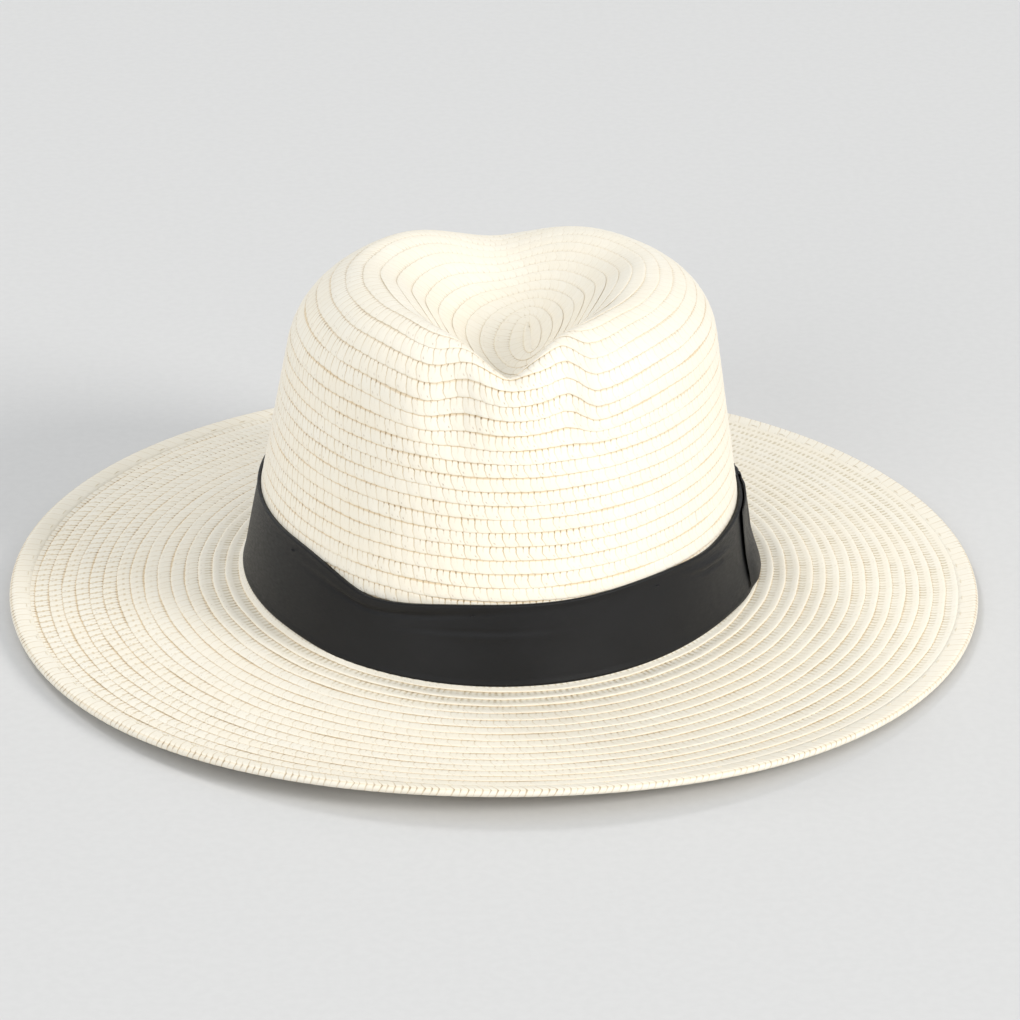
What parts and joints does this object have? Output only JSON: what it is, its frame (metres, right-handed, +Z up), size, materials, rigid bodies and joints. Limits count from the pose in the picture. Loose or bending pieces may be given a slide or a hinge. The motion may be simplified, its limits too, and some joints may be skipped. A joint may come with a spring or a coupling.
{
  "type": "panama hat",
  "caption": "Wide-brimmed fedora of sewn straw braid, with a V dent in the crown, a black cloth band, a flat side bow, a wired brim edge and a sweatband inside.",
  "frame": {"origin": "on the ground, under the middle of the brim's outline", "axes": "+Z up through the crown, -Y to the front of the hat (the pinched end of the dent), +X to the wearer's left, where the bow is"},
  "size_m": [0.339, 0.3602, 0.1215],
  "materials": {
    "straw": "sewn paper-straw braid, matt with a faint sheen",
    "straw_edge": "paper-straw braid turned round the edge",
    "edge_wire": "thin sprung wire, hidden in the edge",
    "thread": "cream cotton thread",
    "band_cloth": "black satin-faced cloth, soft sheen",
    "black_thread": "black thread",
    "sweatband_cloth": "soft twill tape",
    "sweatband_tape": "soft cover tape"
  },
  "bodies": {
    "root": {"crown": "straw", "brim": "straw", "brim_edge": "straw_edge", "edge_wire": "edge_wire", "edge_stitching": "thread", "hat_band": "band_cloth", "band_tacks": "black_thread", "bow_under_loop": "band_cloth", "bow_upper_loop": "band_cloth", "bow_keeper": "band_cloth", "sweatband": "sweatband_cloth", "sweatband_tape": "sweatband_tape", "sweatband_stitching": "thread"}
  },
  "joints": []
}
